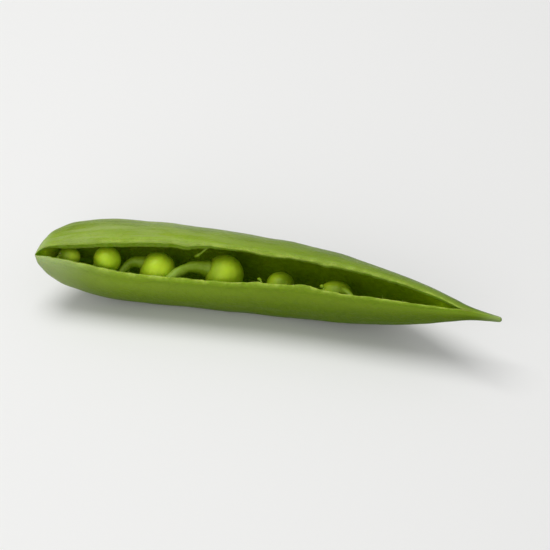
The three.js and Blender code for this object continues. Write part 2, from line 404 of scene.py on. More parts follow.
# %% Shared effects
def shader_group(name, inputs, outputs):
    """Starts a group with a socket of the given kind for each input and output."""
    tree = bpy.data.node_groups.new(name, "ShaderNodeTree")
    for label, kind in inputs.items():
        tree.interface.new_socket(label, in_out="INPUT", socket_type=kind)
    for label in outputs:
        tree.interface.new_socket(label, in_out="OUTPUT", socket_type="NodeSocketFloat")
    entry = tree.nodes.new("NodeGroupInput")
    wires = {label: Wire(entry.outputs[label]) for label in inputs}
    return tree, wires, tree.nodes.new("NodeGroupOutput").inputs


def used(tree, group, inputs):
    made = node(tree, "ShaderNodeGroup", {}, node_tree=group)
    for label, value in inputs.items():
        plug(value, made.inputs[label])
    return {output.name: Wire(output) for output in made.outputs}


print("ready for shared effects")

# %% [markdown]
# ### Grain of living flesh
# Plant skin is never one green. Broad clouds come from how the sun fell, small flecks are groups of
# cells, and the finest grain is the cells' own domes, which also break up a highlight. Three noises
# do it without a seam, and read in millimetres they have their real size on pod, pea and stalk.

# %% Grain
def grain_group():
    tree, value, exits = shader_group("flesh_grain", {"Millimetres": "NodeSocketVector"},
                                      ["Cloud", "Fleck", "Cells"])
    place = value["Millimetres"]
    clouds = noise(tree, place, scale=0.16, detail=4.0, roughness=0.55)
    flecks = noise(tree, place, scale=1.1, detail=4.0, roughness=0.6, distortion=0.4)
    plug(smooth_step(clouds, 0.3, 0.7), exits["Cloud"])
    plug(smooth_step(flecks, 0.35, 0.7), exits["Fleck"])
    plug(noise(tree, place, scale=5.0, detail=3.0, roughness=0.6), exits["Cells"])
    return tree


GRAIN = grain_group()
print("grain ready")

# %% [markdown]
# ### Wax
# A fresh pod wears a thin bloom of wax. It is greyish and dull where it lies thick, and rubbed off
# in long streaks where hands and other pods touched it, so that the highlight on the skin comes out
# broken. One noise, stretched along the pod, makes the streaks, and a second the smears between
# them. The same mask drives colour, roughness and gloss, because it is the same wax.

# %% Wax
def wax_group():
    sockets = {"Millimetres": "NodeSocketVector", "Cover": "NodeSocketFloat"}
    tree, value, exits = shader_group("wax_bloom", sockets, ["Bloom", "Roughness", "Coat"])
    along, girth, layer = axes_of(tree, value["Millimetres"])
    stretched = joined(tree, along * 0.16, girth * 1.1, layer)
    streaks = noise(tree, stretched, scale=0.6, detail=5.0, roughness=0.62, distortion=0.4)
    elsewhere = joined(tree, along * 0.5, girth, layer + 40.0)
    smears = noise(tree, elsewhere, scale=2.2, detail=4.0, roughness=0.7, distortion=0.6)
    bloom_and_sheen = clamped(smooth_step(streaks, 0.42, 0.62) * 0.8 + smooth_step(smears, 0.5, 0.72) * 0.3)
    plug(bloom_and_sheen * value["Cover"], exits["Bloom"])
    plug(blended(0.36, 0.56, bloom_and_sheen), exits["Roughness"])
    plug((1.0 - bloom_and_sheen) * 0.12, exits["Coat"])
    return tree


WAX = wax_group()
print("wax ready")

# %% [markdown]
# ### Veins
# Under the skin runs a net of fine slanting veins. It is hardly seen, but it gives the skin its
# drawn, slightly quilted look. As curves it would be thousands of strands, but the borders of a
# cell texture, read in stretched and bent coordinates, give the same net.

# %% Veins
def vein_group():
    tree, value, exits = shader_group("skin_veins", {"Millimetres": "NodeSocketVector"}, ["Net"])
    along, girth, layer = axes_of(tree, value["Millimetres"])
    sway = noise(tree, value["Millimetres"], scale=0.35, detail=2.0) * 3.0
    slanted = joined(tree, along * 0.28 + girth * 0.16 + sway * 0.4, girth * 0.42 + sway, layer)
    cells = node(tree, "ShaderNodeTexVoronoi", {"Vector": slanted, "Scale": 1.0},
                 feature="DISTANCE_TO_EDGE")
    plug(1.0 - smooth_step(Wire(cells.outputs["Distance"]), 0.0, 0.09), exits["Net"])
    return tree


VEINS = vein_group()
print("veins ready")

# %% [markdown]
# ### Skin of the pod
# The skin is yellower beside the torn seam, partly its own paler flesh and partly painted light
# from above. It is darker at the keel, which is painted shade, and pale at both ends, partly paler
# tissue and partly a painted rim highlight. A pale line along each lip is partly the torn edge and
# partly a painted highlight. The lower valve is the brighter green, and both darken towards the
# stalk, which is painted shade. A faint painted highlight slants down from the blossom tip, and the
# blossom end of the lower valve carries a painted sheen. Each of these is a layer, and its share is
# a formula of the place: millimetres along, and millimetres of girth from the keel, which count
# below zero on the lower valve.

# %% Colours of the skin
def skin_colour(tree, place, grain, bloom_and_sheen, net):
    along, girth, _ = axes_of(tree, place)
    near_lip = attribute(tree, "near_lip")
    lower = 1.0 - smooth_step(girth, -3.0, 5.0)
    # a lighter band beside each lip: partly paler flesh by the seam, partly painted light from
    # above
    lip_band_and_painted_light = blended(smooth_step(near_lip, 0.6, 0.98), bell(near_lip, 0.86, 0.11), lower)
    patch_map = joined(tree, along, girth * 0.3, 7.0)
    patches = smooth_step(noise(tree, patch_map, scale=0.45, detail=3.0, roughness=0.6), 0.42, 0.6)
    # a painted highlight: a faint pale band slanting down from the blossom tip over the upper valve
    painted_highlight_band = bell(girth + along * 0.35, VALVE_GIRTH, 2.2)
    painted_highlight_band = painted_highlight_band * smooth_step(along, 4.0, 12.0) * (1.0 - smooth_step(along, 26.0, 38.0))
    # pale at both tips: partly paler tissue, partly a painted rim highlight
    pale_ends_and_highlight = 1.0 - smooth_step(along, 0.2, 3.0) * (1.0 - smooth_step(along, 74.0, 80.0))
    return layered(tree, tinted(tree, grain["Cloud"], SKIN_GREEN, SKIN_LIGHT), [
        (lower * smooth_step(along, -14.0, 22.0) * 0.9, SKIN_VIVID),
        # painted shade: the skin darkens towards the stalk end
        (smooth_step(along, 20.0, 56.0) * blended(0.78, 0.4, lower), SKIN_DEEP_AND_SHADE),
        (grain["Fleck"] * 0.3, SKIN_DEEP_AND_SHADE),
        # painted shade: the skin darkens towards the keel, on the side turned down
        ((1.0 - smooth_step(near_lip, 0.35, 0.78)) * 0.6, SKIN_DEEP_AND_SHADE),
        # partly paler flesh by the seam, partly painted light from above
        (lip_band_and_painted_light * blended(0.75, 0.5, smooth_step(along, 10.0, 45.0)), RIM_GREEN),
        (net * 0.2, SKIN_LIGHT),
        (smooth_step(grain["Cells"], 0.5, 0.75) * 0.22, SKIN_LIGHT),
        (bell(near_lip, 0.0, 0.02) * 0.6, RIM_GREEN),  # a fine line along the keel
        # a pale line at the lip: partly the torn edge, partly a painted highlight
        (bell(near_lip, 1.0, 0.04) * blended(0.2, 0.65, patches), PALE_EDGE_AND_HIGHLIGHT),
        # wax bloom, partly a painted silvery sheen
        (bloom_and_sheen, WAX_AND_SHEEN_GREY),
        # painted highlight
        (painted_highlight_band * 0.1, PALE_TIP_AND_HIGHLIGHT),  # a faint band that slants down from the blossom tip
        # painted sheen: a grey and pale glance of light along the lower valve's blossom end
        (lower * (1.0 - smooth_step(along, 2.0, 16.0)) * 0.75, WAX_AND_SHEEN_GREY),
        (lower * (1.0 - smooth_step(along, 1.0, 10.0)) * 0.6, PALE_TIP_AND_HIGHLIGHT),
        # partly paler tissue, partly a painted rim highlight
        (pale_ends_and_highlight * 0.6, PALE_TIP_AND_HIGHLIGHT),
    ])


print("skin colours ready")

# %% [markdown]
# ### Pod flesh
# One material covers the pod, because it is one growth, and marks on the mesh say where skin ends
# and torn flesh or lining begins. Most of the grey wax colour lies on the upper valve and its
# blossom half: partly wax bloom, partly a painted silvery sheen of light glancing off the skin. The
# lining is painted lighter near the lip and towards the blossom end and darker deep in the hollow,
# as painted light and shade, and a pale line on each torn lip is partly a painted highlight. Light
# seeps a little way into the flesh, which softens its shadows.

# %% Pod flesh
def pod_material():
    material, tree, surface = new_material("pod_flesh")
    place = attribute(tree, "skin_map", "Vector")
    along, girth, _ = axes_of(tree, place)
    torn = attribute(tree, "torn")
    hollow = attribute(tree, "hollow")
    grain = used(tree, GRAIN, {"Millimetres": place})
    # where the grey wax colour shows: partly wax bloom, partly a painted silvery sheen on the upper
    # valve and the blossom half
    wax_and_sheen_cover = blended(0.1, 0.75, smooth_step(girth, -2.0, 8.0))
    wax_and_sheen_cover = wax_and_sheen_cover * blended(1.25, 0.3, smooth_step(along, 14.0, 42.0))
    wax = used(tree, WAX, {"Millimetres": place, "Cover": wax_and_sheen_cover})
    net = used(tree, VEINS, {"Millimetres": place})["Net"]

    on_lip = smooth_step(torn, 0.0, 0.08)
    inside = smooth_step(hollow, 0.0, 0.06)
    # painted light and shade in the hollow: lighter near the lip and towards the blossom end,
    # darker deep inside
    painted_light_in_hollow = bell(along, 14.0, 14.0) * (1.0 - smooth_step(hollow, 0.1, 0.6) * 0.6)
    lining = tinted(tree, painted_light_in_hollow, LINING_IN_PAINTED_SHADE, LINING_IN_PAINTED_LIGHT)
    lining = tinted(tree, grain["Fleck"] * 0.3, lining, SKIN_DEEP_AND_SHADE)
    lip = tinted(tree, grain["Fleck"] * 0.25, TORN_FLESH, TORN_PALE)
    # a pale line near the lip's outer edge: partly the torn edge, partly a painted highlight
    lip = tinted(tree, bell(torn, 0.1, 0.12) * 0.85, lip, PALE_EDGE_AND_HIGHLIGHT)
    skin = skin_colour(tree, place, grain, wax["Bloom"], net)
    plug(layered(tree, skin, [(on_lip, lip), (inside, lining)]), surface.inputs["Base Color"])
    plug(blended(wax["Roughness"], 0.6, on_lip), surface.inputs["Roughness"])
    gloss = wax["Coat"] * (1.0 - on_lip) * smooth_step(girth, -6.0, 6.0)
    plug(gloss, surface.inputs["Coat Weight"])
    surface.inputs["Coat Roughness"].default_value = 0.25
    surface.inputs["Specular IOR Level"].default_value = 0.1
    surface.inputs["Specular Tint"].default_value = (0.95, 1.0, 0.4, 1.0)
    translucent(surface, weight=0.5, reach=0.0022)
    bumped(tree, surface, grain["Fleck"] * 0.05 + grain["Cells"] * 0.03 + net * 0.03)
    return material


POD_FLESH = pod_material()
print("pod flesh ready")

# %% [markdown]
# ### Seed coat and stalk
# A fresh pea is a bag of sugar and water in a thin skin, so light goes deep and comes out
# yellow-green. The small peas that have hardly filled are duller. Peas in the shade of the lip are
# given a brighter value, which is painted light, and the side of each pea that faces its stalk is
# painted duller, which is painted shade. The stalks and the ovules are soft pale flesh, palest at
# the root and darkening towards the pea, a painted shade.

# %% Seed coat
def seed_material():
    material, tree, surface = new_material("seed_coat")
    place = attribute(tree, "seed_map", "Vector")
    grain = used(tree, GRAIN, {"Millimetres": place})
    wax = used(tree, WAX, {"Millimetres": place, "Cover": 0.3})
    colour = layered(tree, tinted(tree, grain["Cloud"] * 0.6, PEA_GREEN, PEA_DEEP), [
        (grain["Fleck"] * 0.15, PEA_DEEP),
        # dull where a pea has hardly filled; also painted shade on the side facing its stalk, and
        # painted light where a shaded pea has a higher value
        (clamped(1.0 - attribute(tree, "ripeness_and_shade")), PEA_DULL_AND_SHADE),
        (attribute(tree, "scar") * 0.6, HILUM_PALE),
    ])
    plug(colour, surface.inputs["Base Color"])
    plug(wax["Roughness"] + 0.05, surface.inputs["Roughness"])
    surface.inputs["Specular IOR Level"].default_value = 0.3
    translucent(surface, weight=0.6, reach=0.002)
    bumped(tree, surface, grain["Fleck"] * 0.02 + grain["Cells"] * 0.012)
    return material


SEED_COAT = seed_material()
print("seed coat ready")

# %% Pale flesh
def stalk_material():
    material, tree, surface = new_material("pale_flesh")
    in_metres = node(tree, "ShaderNodeTexCoord", {}).outputs["Object"]
    place = vector_sum(tree, "SCALE", in_metres, 1.0 / MM)
    grain = used(tree, GRAIN, {"Millimetres": place})
    # painted shade: stalks and ovules darken towards the pea, where they lie in shade
    painted_shade_towards_pea = smooth_step(attribute(tree, "way"), 0.05, 0.65)
    colour = tinted(tree, painted_shade_towards_pea, STALK_GREEN, PEA_DULL_AND_SHADE)
    colour = tinted(tree, grain["Fleck"] * 0.3, colour, RIM_GREEN)
    plug(colour, surface.inputs["Base Color"])
    surface.inputs["Roughness"].default_value = 0.45
    surface.inputs["Specular IOR Level"].default_value = 0.25
    translucent(surface, weight=0.3, reach=0.001)
    bumped(tree, surface, grain["Cells"] * 0.03)
    return material


PALE_FLESH = stalk_material()
print("pale flesh ready")

# %% [markdown]
# ## The pod
# The pod is one sheet of flesh wrapped round: over the skin from lip to lip, across each torn lip,
# and back through the hollow. It could be sculpted, but its section follows one rule, a rounded
# keel under a fuller shoulder, and only the outlines change along the way. That makes it a job for
# nodes: a flat grid, rolled up by the rule. Each step along the grid is a section, and each step
# across it goes one face further round the ring.

# %% The grid and its ring
STATIONS = 350
CROWDING = 0.6  # how strongly stations crowd towards the ends, from 0 to 1
SKIN_STEPS = 62  # from the keel to a lip
LIP_STEPS = 8  # across a torn lip
LINING_STEPS = 34  # from a lip to the floor of the hollow
HALF_RING = SKIN_STEPS + LIP_STEPS + LINING_STEPS


def flat_grid(tree):
    """A grid, with each point's share of the length, steps from the keel and side: 1 or -1."""
    ring = 2 * HALF_RING
    cuts = {"Size X": 1.0, "Size Y": 1.0, "Vertices X": STATIONS, "Vertices Y": ring + 1}
    grid = node(tree, "GeometryNodeMeshGrid", cuts).outputs[0]
    u, v, _ = axes_of(tree, position(tree))
    u = u + 0.5
    share = u - sums("SINE", u * (2 * math.pi)) * (CROWDING / (2 * math.pi))
    step = (v + 0.5) * ring
    from_keel = sums("ABSOLUTE", step - SKIN_STEPS)
    from_keel = sums("MINIMUM", from_keel, ring - from_keel)
    past_keel = sums("GREATER_THAN", step, SKIN_STEPS)
    lower = past_keel * sums("LESS_THAN", step, SKIN_STEPS + HALF_RING)
    return grid, share, from_keel, 1.0 - lower * 2.0


print("faces on the pod:", (STATIONS - 1) * 2 * HALF_RING)

# %% Read an outline
def outline(share, points):
    """A smooth curve through an outline's points, read at a share of the pod's length."""
    lowest = min(value for _, value in points)
    span = max(value for _, value in points) - lowest
    made = node(share.tree, "ShaderNodeFloatCurve", {"Value": share})
    curve = made.mapping.curves[0]
    spots = [(distance / POD_LENGTH, (value - lowest) / span) for distance, value in points]
    curve.points[0].location = spots[0]
    curve.points[-1].location = spots[-1]
    for x, y in spots[1:-1]:
        curve.points.new(x, y)
    for spot in curve.points:
        spot.handle_type = "AUTO_CLAMPED"
    made.mapping.update()
    return Wire(made.outputs[0]) * span + lowest


print("outlines ready")

# %% [markdown]
# Half a section is two quarter superellipses, one from the keel to the widest point and one from
# there to the lip. The lining follows the same rule, one wall further in, and near both ends it
# shrinks up to the floor of the split.

# %% The rule of the section
def half_section(turn, bottom, middle, wide, top, lip_offset):
    """Out and up of half a section: turn is 0 at the bottom, 0.5 at its widest, 1 at the lip."""
    low = sums("MINIMUM", turn, 0.5) * math.pi
    high = at_least(turn - 0.5, 0.0) * math.pi
    shoulder = at_least(sums("COSINE", high), 0.0) ** (2 / LIP_ROUNDING)
    out = lip_offset + (wide - lip_offset) * shoulder
    down = (middle - bottom) * at_least(sums("COSINE", low), 0.0) ** (2 / KEEL_ROUNDING)
    rise = (top - middle) * sums("SINE", high) ** (2 / LIP_ROUNDING)
    return out * sums("SINE", low) ** (2 / KEEL_ROUNDING), middle - down + rise


def skin_section(size, turn, width, depth, gape):
    out, up = half_section(turn, 0.0, depth * WIDEST, width, depth, gape)
    rib = bell(out, 0.0, RIB_WIDTH) * size["Keel rib"] * clamped(depth / SEAM_LEVEL)
    return out, up - rib * (1.0 - smooth_step(turn, 0.3, 0.5))


def lining_section(size, turn, x, width, depth, gape):
    lean = gape / depth
    lip = sums("MINIMUM", size["Lip"], depth * 0.4)
    lip_offset = at_least(gape - lip * lean, 0.0)
    top = depth - lip * sums("SQRT", 1.0 - lean ** 2)
    opening = smooth_step(x, HOLLOW_START, HOLLOW_START + HOLLOW_OPENS)
    closing = smooth_step(x, HOLLOW_END, HOLLOW_END - HOLLOW_CLOSES)
    share = sums("SQRT", opening * closing)
    bottom = top - share * at_least(top - size["Keel wall"], 0.0)
    wide = lip_offset + share * at_least(width - size["Wall"] - lip_offset, 0.0)
    return half_section(turn, bottom, (bottom + top) * 0.5, wide, top, lip_offset)


print("section rule ready")

# %% [markdown]
# Peas push the valves out a little where they lie. The seam tore rather than being cut, so its lips
# wander a few tenths of a millimetre, and here and there one valve kept a tag of the other's flesh,
# which leans in over the split. Both ends close in a rounded nose instead of a flat cap.

# %% Swellings over the peas
pea_names = sorted(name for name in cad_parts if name.startswith("pea_"))


def middle_and_width(name):
    """Middle and width of a node's box, in millimetres."""
    low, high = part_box(name)
    return (low + high) / (2 * MM), (high.x - low.x) / MM


peas = {name: middle_and_width(name) for name in pea_names}


def swelling(x, turn):
    """How far the peas push a wall out, most beside their middles."""
    flank = 0.45 + bell(turn, 0.6, 0.25)
    return sum(bell(x, spot.x - pod_low.x / MM, 0.7 * across) * flank
               for spot, across in peas.values())


print({name: round(across, 1) for name, (_, across) in peas.items()})

# %% Lips and ends
UPPER, LOWER = 1.0, -1.0
TAGS = [(25, 1.6, 0.3, UPPER), (38.5, 1.8, 0.2, UPPER), (48, 1.5, 0.2, UPPER),
        (37.5, 1.3, 0.25, LOWER), (45.3, 2.4, 0.4, LOWER), (57, 2.6, 0.15, LOWER)]
BLOSSOM_NOSE, STALK_NOSE = 0.7, 0.4  # lengths over which the ends round off


def ragged(tree, x, side):
    """How far a torn lip wanders, from about -0.3 to 0.3."""
    along_lip = joined(tree, x, side * 9.0, 3.0)
    return noise(tree, along_lip, scale=0.55, detail=5.0, roughness=0.62) - 0.5


def tags(x, side):
    """How far a tag of flesh leans in over the split, in millimetres."""
    return sum(bell(x, middle, width) * lean * clamped(side * valve)
               for middle, width, lean, valve in TAGS)


def placenta(x, turn, side):
    """The ridge that fed the peas, under the upper lip. It stands out most near the blossom."""
    under_lip = smooth_step(turn, 0.8, 1.0) * clamped(side)
    return under_lip * smooth_step(x, 1.0, 5.0) * (1.0 - smooth_step(x, 22.0, 33.0))


def rounded_end(x):
    blossom = clamped(x / BLOSSOM_NOSE)
    stalk = clamped((POD_LENGTH - x) / STALK_NOSE)
    share = blossom * stalk
    return sums("SQRT", clamped(share * (2.0 - share)))


print("tags of flesh on the lips:", len(TAGS))

# %% [markdown]
# The pod is put together from these pieces. Marks for the materials go on while the grid is still
# flat: how far round and along each point is, whether it is torn, and how deep in the hollow it
# lies. The rolled grid has two open edges, which meet at the upper lip, and at each end a whole
# section shrunk to a point. Merging the points that coincide closes it.

# %% Roll the grid up
CLOSED = 0.001  # a narrower split counts as closed
WELD = 0.00001  # much wider, and thin faces where the split ends would merge too
LIP_LAYER, LINING_LAYER = 4.0, 16.0  # the map's third axis: skin is 0, then lip, then lining


def rolled_up(tree, size):
    grid, share, from_keel, side = flat_grid(tree)
    x = share * POD_LENGTH
    skin_turn = clamped(from_keel / SKIN_STEPS)
    torn = clamped((from_keel - SKIN_STEPS) / LIP_STEPS)
    floor_turn = 1.0 - clamped((from_keel - (SKIN_STEPS + LIP_STEPS)) / LINING_STEPS)
    depth = outline(share, DEPTH)
    gape = outline(share, GAPE) * 0.5
    split = sums("GREATER_THAN", gape, CLOSED)
    bulge = swelling(x, skin_turn * floor_turn) * size["Pea bulge"]
    width = outline(share, HALF_WIDTH) + bulge
    out, up = skin_section(size, skin_turn, width, depth, gape)
    in_out, in_up = lining_section(size, floor_turn, x, width, depth, gape)
    ridge = placenta(x, floor_turn, side) * size["Placenta"]
    in_out = in_out - sums("MINIMUM", ridge, in_out * 0.6)
    out = blended(out, in_out, torn * split)
    up = blended(up, in_up, torn * split)

    at_lip = smooth_step(skin_turn, 0.88, 1.0) * smooth_step(floor_turn, 0.75, 1.0) * clamped(gape)
    up = up + ragged(tree, x, side) * at_lip * size["Ragged"]
    wander = ragged(tree, x + 50.0, side) * at_lip * size["Ragged"] * 0.8
    out = out + wander - tags(x, side) * at_lip
    middle = depth * WIDEST
    nose = rounded_end(x)
    out = out * nose * side
    up = (up - middle) * nose
    turn = outline(share, TWIST) * (math.pi / 180)
    y = outline(share, BOW) + out * sums("COSINE", turn) - up * sums("SINE", turn)
    seam = (x - SHEER_LOW) ** 2 * SHEER + SEAM_LEVEL
    z = seam - depth + middle + out * sums("SINE", turn) + up * sums("COSINE", turn)

    hollow = 1.0 - floor_turn
    layer = torn * LIP_LAYER + hollow * LINING_LAYER
    shell = noted(tree, grid, {
        "skin_map": joined(tree, x, side * skin_turn * VALVE_GIRTH, layer),
        "near_lip": skin_turn, "torn": torn, "hollow": hollow,
        "fullness": clamped(depth / SEAM_LEVEL),
    })
    shell = moved(tree, shell, joined(tree, x, y, z))
    return changed(tree, shell, "MergeByDistance", {"Distance": WELD})


print("rolling ready")

# %% Lumps, dimples and a welt
def quilted(tree, size, shell):
    """Lumps and hollows of growth, and a low welt beside each lip, along the normals."""
    place = recalled(tree, "skin_map", "FLOAT_VECTOR")
    lumps = noise(tree, place, scale=0.12, detail=2.0) - 0.5
    dimples = noise(tree, place, scale=0.5, detail=3.0) - 0.5
    welt = bell(recalled(tree, "near_lip"), 0.94, 0.03) * (1.0 - recalled(tree, "torn"))
    height = lumps * size["Lumps"] + dimples * size["Dimples"] + welt * size["Welt"]
    return pushed(tree, shell, height * recalled(tree, "fullness"))


print("quilting ready")

# %% [markdown]
# A cut pod on a table never balances on its keel. It rolls onto the flank of one valve, and the
# flesh flattens a little where it lies. The recipe measures the rolled mesh, to set it on the table
# and over the middle of its solid.

# %% Lay it down
def laid_down(tree, size, shell):
    x, y, z = axes_of(tree, position(tree))
    sine = math.sin(SPLIT_ELEVATION)
    cosine = math.cos(SPLIT_ELEVATION)
    out = y * sine - z * cosine
    up = y * cosine + z * sine
    rolled = moved(tree, shell, joined(tree, x + size["Blossom tip"], out, up))

    def reach(axis):
        measured = {"Geometry": rolled, "Attribute": axis}
        values = node(tree, "GeometryNodeAttributeStatistic", measured)
        return Wire(values.outputs["Min"]), Wire(values.outputs["Max"])

    near, far = reach(y)
    lowest, _ = reach(z)
    height = at_least(z - lowest - size["Pressed"], 0.0)
    centred = y - (near + far) * 0.5 + size["Middle"]
    return moved(tree, rolled, joined(tree, x, centred, height))


print("table ready")

# %% [markdown]
# Where the seam tore, single fibres stand up. Short tapered strands are scattered over the torn
# lips by chance, with a fixed seed so that they come out the same each time. One fibre is built,
# and its copies are turned and scaled.

# %% Torn fibres
FIRST_FIBRE, LAST_FIBRE = 3.0, 64.0  # how far along they stand
LEAST_TURN, MOST_TURN = (-0.7, -0.9, -0.6), (0.7, 0.7, 3.6)  # in radians
LEAST_SCALE, MOST_SCALE = 0.35, 0.85


def torn_fibres(tree, shell, count_share, seed):
    torn = recalled(tree, "torn")
    on_lip = sums("GREATER_THAN", torn, 0.3) * sums("LESS_THAN", torn, 0.7)
    along, _, _ = axes_of(tree, recalled(tree, "skin_map", "FLOAT_VECTOR"))
    on_lip = on_lip * sums("GREATER_THAN", along, FIRST_FIBRE)
    on_lip = on_lip * sums("LESS_THAN", along, LAST_FIBRE)
    chance = Wire(node(tree, "FunctionNodeRandomValue", {"Seed": seed}).outputs["Value"])
    chosen = on_lip * sums("LESS_THAN", chance, count_share)
    lips = {"Mesh": shell, "Selection": chosen}
    points = node(tree, "GeometryNodeMeshToPoints", lips).outputs[0]
    fibre = strand(tree, (0, 0, -0.1), (0.2, 0.05, 0.25), (0.75, 0.0, 0.3), steps=6, sides=6,
                   radius=lambda share: 0.09 * (1.0 - share * 0.85))
    turns = node(tree, "FunctionNodeRandomValue",
                 {"Min": LEAST_TURN, "Max": MOST_TURN, "Seed": seed + 1},
                 data_type="FLOAT_VECTOR").outputs["Value"]
    rotation = node(tree, "FunctionNodeEulerToRotation", {0: turns}).outputs[0]
    sizes = Wire(node(tree, "FunctionNodeRandomValue",
                      {2: LEAST_SCALE, 3: MOST_SCALE, "Seed": seed + 2}).outputs[1])
    return node(tree, "GeometryNodeInstanceOnPoints", {
        "Points": points, "Instance": fibre, "Rotation": rotation,
        "Scale": joined(tree, sizes, sizes, sizes),
    }).outputs[0]


print("fibres ready")

# %% Grow the pod
pod_sizes = {
    "Wall": 1.6, "Keel wall": 2.0, "Lip": 1.1, "Keel rib": 0.3, "Pea bulge": 0.12,
    "Ragged": 0.7, "Lumps": 0.25, "Dimples": 0.12, "Welt": 0.1, "Placenta": 0.55,
    "Pressed": 0.9, "Fibre share": 0.02, "Seed": 7,
    "Blossom tip": pod_low.x / MM, "Middle": (pod_low.y + pod_high.y) / (2 * MM),
}
tree, size = recipe("pod_recipe", pod_sizes)
shell = laid_down(tree, size, quilted(tree, size, rolled_up(tree, size)))
fibres = torn_fibres(tree, shell, size["Fibre share"], size["Seed"])
together = tree.nodes.new("GeometryNodeJoinGeometry")
plug(fibres, together.inputs[0])
plug(shell, together.inputs[0])
finish_recipe(tree, together.outputs[0], POD_FLESH)
pod = grow("pod_flesh", tree, pod_sizes)

# %% [markdown]
# ## Where stalks start and end
# Each stalk's solid in the frame runs from a valve to its pea. The mesh of that solid says where:
# its points nearest the pea are the tip, the furthest are the root, and those halfway show how it
# bends. A ray cast from the root finds the wall behind it, so that the stalk can grow out of the
# flesh.

# %% Ends of a strand
RINGS = 11  # a strand's solid is this many rings of points
ROOT_DEPTH = 0.5  # how far a root goes into the wall
pod_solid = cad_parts["pod"].data
pod_walls = BVHTree.FromPolygons([vertex.co for vertex in pod_solid.vertices],
                                 [face.vertices for face in pod_solid.polygons])


def into_wall(point, way):
    """Where a ray from a point meets the pod's wall, and on into the wall."""
    return pod_walls.ray_cast(point * MM, way)[0] / MM + way * ROOT_DEPTH


def ends_of(name, towards):
    """Root, middle and tip of a strand's solid. The tip is the end nearest the given place."""
    points = np.array([tuple(vertex.co / MM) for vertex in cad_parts[name].data.vertices])
    points = points[np.argsort(np.linalg.norm(points - np.array(towards), axis=1))]
    ring = max(len(points) // RINGS, 3)
    half = len(points) // 2
    tip, middle, root = points[:ring], points[half - ring:half + ring], points[-ring:]
    return [Vector(part.mean(axis=0)) for part in (root, middle, tip)]


def control_of(root, middle, tip):
    """The point that pulls an arc from root to tip through its middle."""
    return middle * 2 - (root + tip) / 2


OUT_OF_SPLIT = Vector((0.0, -math.cos(SPLIT_ELEVATION), math.sin(SPLIT_ELEVATION)))
TO_LOWER_VALVE = Vector((0.0, -math.sin(SPLIT_ELEVATION), -math.cos(SPLIT_ELEVATION)))
stalks = {name: ends_of(name.replace("pea", "seed_stalk"), peas[name][0]) for name in pea_names}
for name, (root, middle, tip) in stalks.items():
    print(name, "stalk is", round((tip - root).length, 1), "mm long")

# %% [markdown]
# ## Peas
# A pea grows round in a narrow room, so it is nearly a ball: a little out of round, faintly
# dimpled, and drawn in round the scar where its stalk holds it. The two at the ends have hardly
# filled and are longer than wide. A ball of triangles has no poles to hide, and noise moves its
# points in and out. One recipe makes all six; each gets its own size, stretch and chance.

# %% Pea recipe
def pea_recipe(sizes):
    tree, size = recipe("pea_recipe", sizes)
    fine = {"Radius": 1.0, "Subdivisions": 6}
    ball = node(tree, "GeometryNodeMeshIcoSphere", fine).outputs[0]
    way = position(tree)
    chance = joined(tree, size["Chance"] * 7.3, size["Chance"] * 3.1, 0.0)
    shifted = vector_sum(tree, "ADD", way, chance)
    towards_stalk = vector_sum(tree, "DOT_PRODUCT", way, size["Stalk side"])
    lumps = (noise(tree, shifted, scale=0.8, detail=2.0) - 0.5) * 0.14
    dimples = (noise(tree, shifted, scale=2.6, detail=2.0) - 0.5) * 0.035
    drawn_in = smooth_step(towards_stalk, 0.7, 1.0) * 0.05
    growth = lumps + dimples - drawn_in + bell(towards_stalk, 0.95, 0.03) * 0.02
    shape = vector_sum(tree, "MULTIPLY", way, size["Stretch"])
    radius = size["Diameter"] * 0.5 * (growth + 1.0)
    marked = noted(tree, ball, {
        "seed_map": vector_sum(tree, "SCALE", shifted, size["Diameter"] * 0.5),
        "scar": smooth_step(towards_stalk, 0.955, 0.985),
        # the side facing the stalk is painted duller, as painted shade
        "ripeness_and_shade": size["Ripeness and light"] - smooth_step(towards_stalk, 0.1, 0.9) * 0.6,
    })
    place = vector_sum(tree, "ADD", vector_sum(tree, "SCALE", shape, radius), size["Middle"])
    finish_recipe(tree, moved(tree, marked, place), SEED_COAT)
    return tree


print("pea recipe ready")

# %% Grow the peas
ROUND = Vector((1.0, 1.0, 1.0))
STRETCH = {"pea_1": Vector((1.28, 1.08, 1.08)), "pea_6": Vector((1.25, 0.95, 0.9))}
# partly how full each pea is, partly painted light: peas in the lip's shade get higher values
RIPENESS_AND_LIGHT = {"pea_1": 0.6, "pea_2": 1.0, "pea_3": 1.0, "pea_4": 0.85, "pea_5": 0.9, "pea_6": 0.75}
pea_sizes = {}
for number, name in enumerate(pea_names):
    spot, across = peas[name]
    pea_sizes[f"{name}_seed"] = {
        "Middle": spot, "Diameter": across, "Stretch": STRETCH.get(name, ROUND),
        "Stalk side": (stalks[name][2] - spot).normalized(),
        "Ripeness and light": RIPENESS_AND_LIGHT[name], "Chance": float(number + 1),
    }
pea_pieces = grow_all(pea_recipe, pea_sizes)

# %% [markdown]
# ## Seed stalks
# A stalk grows out of the valve beside the seam and broadens again where it holds the pea. It is
# soft flesh, so it is an uneven cord that runs into both: a ring carried along an arc, with its
# size a formula of the way. The frame's solid stops short at both ends, so the arc is lengthened
# until no gap shows. The two thick stalks arch higher than their solids do.

# %% Stalk recipe
def wavy(tree, geometry, amount):
    uneven = noise(tree, position(tree), scale=0.9, detail=3.0, roughness=0.6) - 0.5
    return pushed(tree, geometry, uneven * amount)


